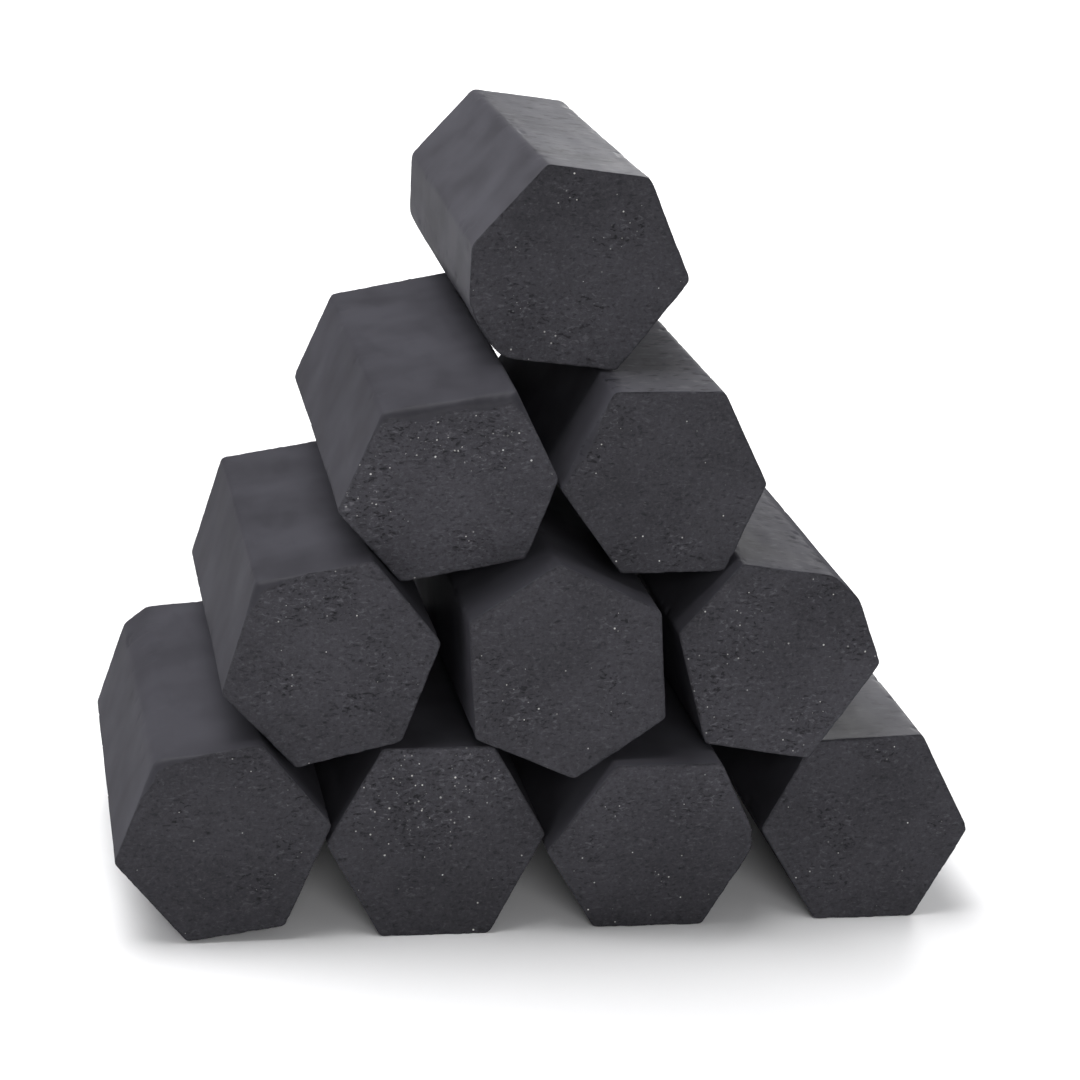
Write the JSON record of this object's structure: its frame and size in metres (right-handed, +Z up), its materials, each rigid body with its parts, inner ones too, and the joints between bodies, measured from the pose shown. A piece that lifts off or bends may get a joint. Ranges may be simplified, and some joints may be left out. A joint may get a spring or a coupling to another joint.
{
  "type": "pile of hexagonal charcoal sticks",
  "caption": "Loose pyramid of short hexagonal pressed-charcoal fuel sticks, each a separate solid that draws out of the pile or lifts off its top.",
  "frame": {"origin": "on the floor, under the middle of the pile's bounding box", "axes": "+X to the pile's right seen from its cut front ends, +Y along the sticks towards their back ends, +Z up"},
  "size_m": [0.1006, 0.0675, 0.0874],
  "materials": {
    "pressed_charcoal": "matte, dense pressed charcoal with a grainy, pitted cut end"
  },
  "bodies": {
    "bottom_mid_left_stick": {"bottom_mid_left_stick": "pressed_charcoal"},
    "bottom_mid_right_stick": {"bottom_mid_right_stick": "pressed_charcoal"},
    "bottom_right_stick": {"bottom_right_stick": "pressed_charcoal"},
    "bottom_left_stick": {"bottom_left_stick": "pressed_charcoal"},
    "second_left_stick": {"second_left_stick": "pressed_charcoal"},
    "second_middle_stick": {"second_middle_stick": "pressed_charcoal"},
    "second_right_stick": {"second_right_stick": "pressed_charcoal"},
    "third_left_stick": {"third_left_stick": "pressed_charcoal"},
    "third_right_stick": {"third_right_stick": "pressed_charcoal"},
    "top_stick": {"top_stick": "pressed_charcoal"}
  },
  "joints": [
    {"name": "draw_out_bottom_mid_right_stick", "type": "slide", "parent": "bottom_mid_left_stick", "child": "bottom_mid_right_stick", "axis": [0, -1, 0], "range_m": [0, 0.06]},
    {"name": "draw_out_bottom_right_stick", "type": "slide", "parent": "bottom_mid_left_stick", "child": "bottom_right_stick", "axis": [0, -1, 0], "range_m": [0, 0.06]},
    {"name": "draw_out_bottom_left_stick", "type": "slide", "parent": "bottom_mid_left_stick", "child": "bottom_left_stick", "axis": [0, -1, 0], "range_m": [0, 0.06]},
    {"name": "draw_out_second_left_stick", "type": "slide", "parent": "bottom_mid_left_stick", "child": "second_left_stick", "axis": [0, -1, 0], "range_m": [0, 0.06]},
    {"name": "draw_out_second_middle_stick", "type": "slide", "parent": "bottom_mid_left_stick", "child": "second_middle_stick", "axis": [0, -1, 0], "range_m": [0, 0.06]},
    {"name": "draw_out_second_right_stick", "type": "slide", "parent": "bottom_mid_left_stick", "child": "second_right_stick", "axis": [0, -1, 0], "range_m": [0, 0.06]},
    {"name": "draw_out_third_left_stick", "type": "slide", "parent": "bottom_mid_left_stick", "child": "third_left_stick", "axis": [0, -1, 0], "range_m": [0, 0.06]},
    {"name": "draw_out_third_right_stick", "type": "slide", "parent": "bottom_mid_left_stick", "child": "third_right_stick", "axis": [0, -1, 0], "range_m": [0, 0.06]},
    {"name": "lift_off_top_stick", "type": "slide", "parent": "bottom_mid_left_stick", "child": "top_stick", "axis": [0, 0, 1], "range_m": [0, 0.03]}
  ]
}
